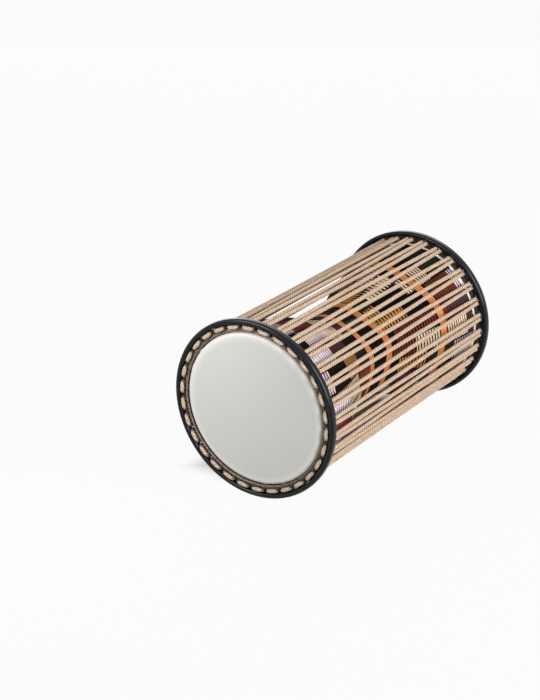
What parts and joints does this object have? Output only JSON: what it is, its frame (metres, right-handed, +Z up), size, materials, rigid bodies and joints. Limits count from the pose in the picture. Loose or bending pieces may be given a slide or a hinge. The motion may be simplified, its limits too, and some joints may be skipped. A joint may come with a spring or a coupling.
{
  "type": "talking drum",
  "caption": "Hourglass talking drum with a head at each end, laced hoop to hoop with rope that is squeezed under the arm to raise the pitch.",
  "frame": {"origin": "on the floor under the middle of the drum, which lies on its side on both rims", "axes": "+Z up, +Y along the drum's axis from the front head to the rear head, +X to the right seen from the front"},
  "size_m": [0.2046, 0.3504, 0.2044],
  "materials": {
    "shell": "matt moulded wood fibre",
    "wrap": "printed strip-weave cotton, glued down",
    "head": "milky synthetic film, satin",
    "flesh_hoop": "drawn rod, bare",
    "counter_hoop": "grey-brown paint, satin",
    "rim_bead": "black moulded bead, soft sheen",
    "rope": "tan braided polyester cord"
  },
  "bodies": {
    "shell": {"front_shell": "shell", "rear_shell": "shell", "front_wrap": "wrap", "rear_wrap": "wrap", "front_head": "head", "rear_head": "head", "front_lacing": "rope", "rear_lacing": "rope", "left_front_lacing": "rope", "left_rear_lacing": "rope", "right_front_lacing": "rope", "right_rear_lacing": "rope"},
    "front_hoop": {"front_flesh_hoop": "flesh_hoop", "front_counter_hoop": "counter_hoop", "front_rim_bead": "rim_bead"},
    "rear_hoop": {"rear_flesh_hoop": "flesh_hoop", "rear_counter_hoop": "counter_hoop", "rear_rim_bead": "rim_bead"},
    "left_grip": {"left_grip_ropes": "rope"},
    "right_grip": {"right_grip_ropes": "rope"}
  },
  "joints": [
    {"name": "left_squeeze", "type": "slide", "parent": "shell", "child": "left_grip", "axis": [1, 0, 0], "range_m": [0, 0.015], "stiffness_N_per_m": 4000, "deforming": ["left_front_lacing", "left_rear_lacing"]},
    {"name": "right_squeeze", "type": "slide", "parent": "shell", "child": "right_grip", "axis": [-1, 0, 0], "range_m": [0, 0.015], "stiffness_N_per_m": 4000, "deforming": ["right_front_lacing", "right_rear_lacing"]},
    {"name": "front_hoop_draw", "type": "slide", "parent": "shell", "child": "front_hoop", "axis": [0, 1, 0], "range_m": [0, 0.0008]},
    {"name": "rear_hoop_draw", "type": "slide", "parent": "shell", "child": "rear_hoop", "axis": [0, -1, 0], "range_m": [0, 0.0008]}
  ],
  "couplings": [
    {"joint": "right_squeeze", "follows": "left_squeeze", "ratio": 1},
    {"joint": "front_hoop_draw", "follows": "left_squeeze", "ratio": 0.053333},
    {"joint": "rear_hoop_draw", "follows": "left_squeeze", "ratio": 0.053333}
  ]
}
